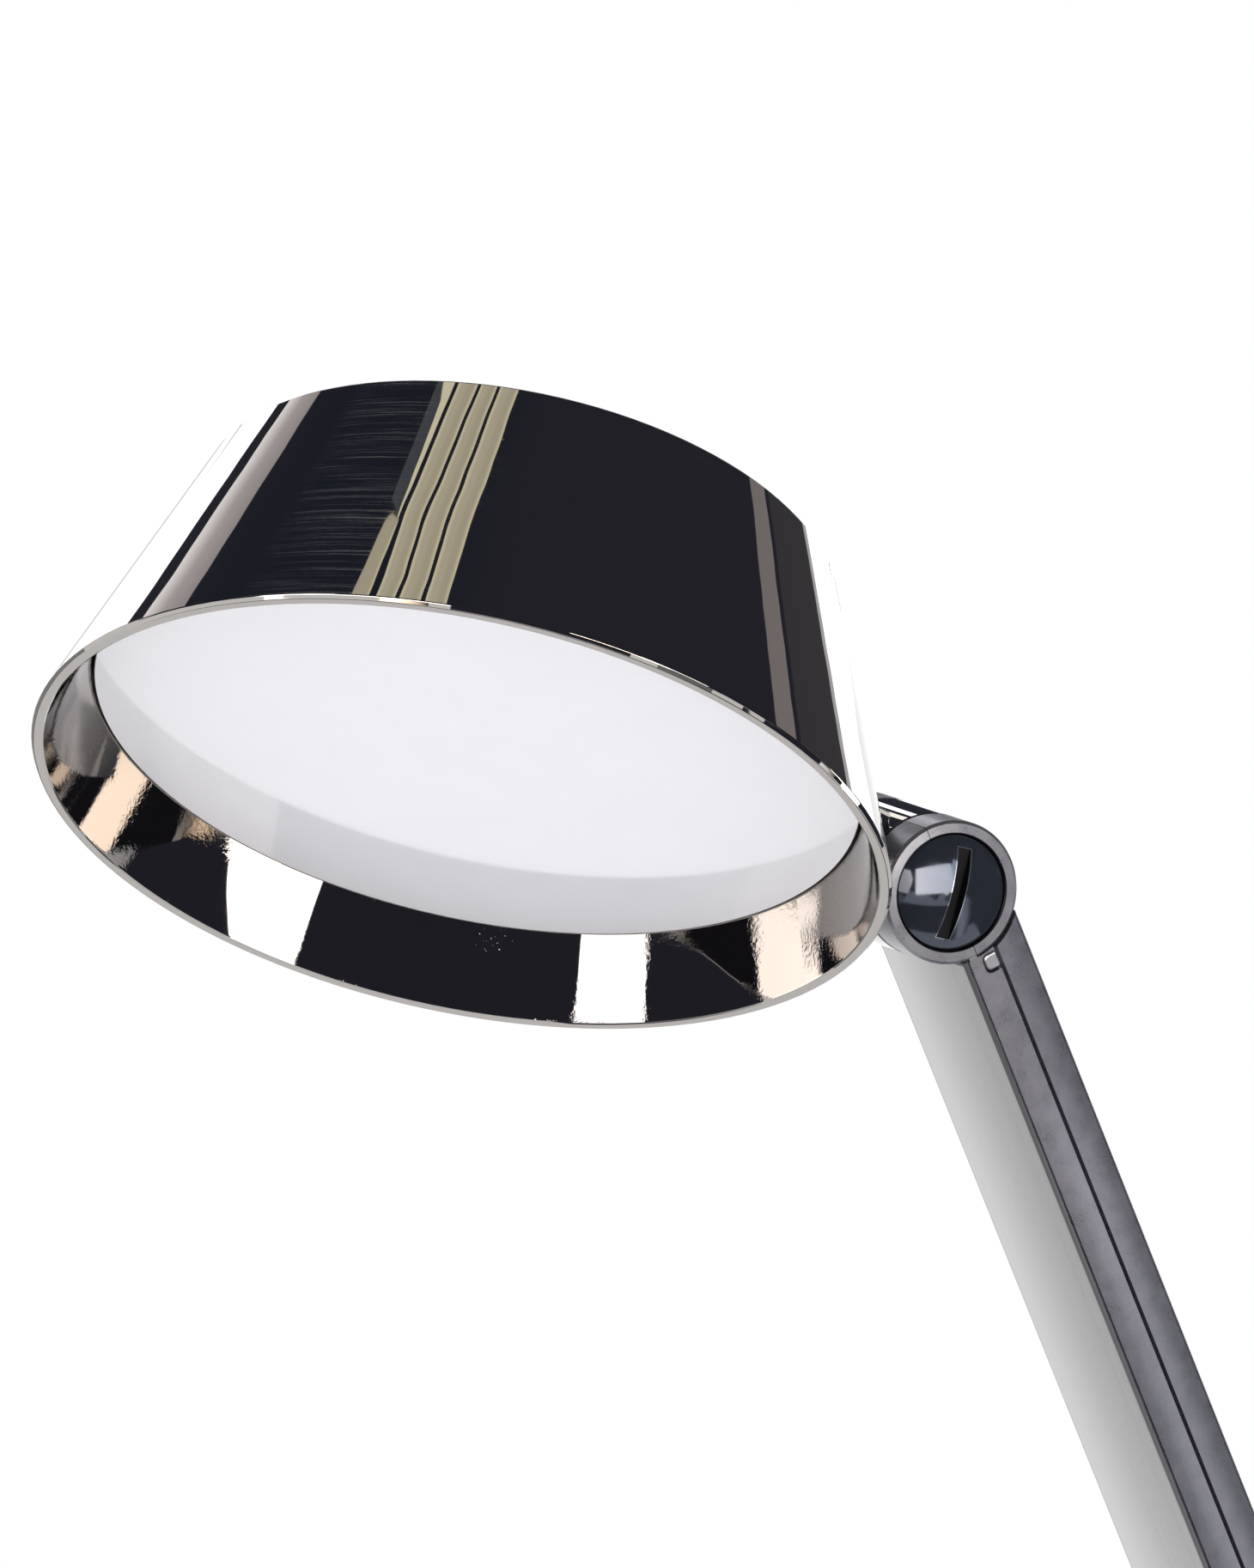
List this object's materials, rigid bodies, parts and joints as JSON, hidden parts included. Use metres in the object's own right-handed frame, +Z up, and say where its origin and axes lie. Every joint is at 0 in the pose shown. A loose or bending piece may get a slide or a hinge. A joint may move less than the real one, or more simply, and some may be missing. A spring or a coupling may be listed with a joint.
{
  "type": "desk lamp",
  "caption": "Desk lamp with a mirror-chrome cone shade over an opal diffuser, on a turning neck, a flat hinged arm and a round weighted base.",
  "frame": {"origin": "on the desk, at the middle of the underside of the base's pad", "axes": "+Z up; the hinge axes lie along Y; the head reaches out towards -X; the slotted screw heads that the picture shows face -Y"},
  "size_m": [0.3077, 0.17, 0.4148],
  "materials": {
    "mirror_chrome": "chrome plated to a mirror over die-cast metal",
    "opal": "glossy opal acrylic",
    "white_plastic": "moulded white",
    "board_white": "white solder mask",
    "phosphor": "yellow phosphor under clear resin",
    "bare_aluminium": "plain sheet",
    "zinc_steel": "zinc plated",
    "nylon": "black nylon",
    "insulation": "white cable sheath",
    "satin_grey": "satin grey on die-cast metal, lightly mottled",
    "bright_plate": "satin silver",
    "black_nickel": "glossy blue-black nickel",
    "brushed_base": "spun and brushed in circles",
    "iron": "raw casting",
    "black_plate": "matt black powder coat",
    "pad_rubber": "matt foam rubber",
    "board_green": "green solder mask",
    "black_parts": "black epoxy",
    "bright_button": "polished chrome"
  },
  "bodies": {
    "base": {"base_shell": "brushed_base", "bottom_plate": "black_plate", "base_screws": "zinc_steel", "base_pad": "pad_rubber", "ballast": "iron", "driver_board": "board_green", "driver_parts": "black_parts", "push_switch": "black_parts", "base_post": "satin_grey", "post_screws": "zinc_steel", "base_lead": "insulation", "cord_gland": "pad_rubber"},
    "arm": {"arm_front_shell": "satin_grey", "arm_face_plate": "bright_plate", "arm_back_cover": "satin_grey", "cover_screws": "zinc_steel", "arm_lead": "insulation", "upper_ear_caps": "satin_grey", "lower_ear_caps": "satin_grey", "upper_hinge_screw": "black_nickel", "upper_sleeve_nut": "black_nickel", "upper_spring_washers": "zinc_steel", "upper_hinge_washers": "nylon", "lower_hinge_screw": "black_nickel", "lower_sleeve_nut": "black_nickel", "lower_spring_washers": "zinc_steel", "lower_hinge_washers": "nylon"},
    "knuckle": {"tilt_knuckle": "mirror_chrome", "neck_washer": "zinc_steel", "neck_disc": "zinc_steel", "neck_spring": "zinc_steel", "neck_nut": "zinc_steel"},
    "head": {"shade_shell": "mirror_chrome", "diffuser": "opal", "reflector_tray": "white_plastic", "led_board": "board_white", "led_chips": "phosphor", "heat_spreader": "bare_aluminium", "unit_screws": "zinc_steel", "terminal_block": "nylon", "head_lead": "insulation", "neck_saddle": "mirror_chrome", "neck_bush": "nylon"},
    "button": {"power_button": "bright_button"}
  },
  "joints": [
    {"name": "arm_tilt", "type": "hinge", "parent": "base", "child": "arm", "pos_m": [0.055, 0, 0.045], "axis": [0, 1, 0], "range_deg": [-40, 50]},
    {"name": "head_tilt", "type": "hinge", "parent": "arm", "child": "knuckle", "pos_m": [-0.0627, 0, 0.32095], "axis": [0, 1, 0], "range_deg": [-60, 60]},
    {"name": "head_roll", "type": "hinge", "parent": "knuckle", "child": "head", "pos_m": [-0.0627, 0, 0.32095], "axis": [-0.8918, 0, 0.4524], "range_deg": [-117, 62]},
    {"name": "button_press", "type": "slide", "parent": "base", "child": "button", "axis": [0, 0, -1], "range_m": [0, 0.0015], "stiffness_N_per_m": 1200}
  ]
}
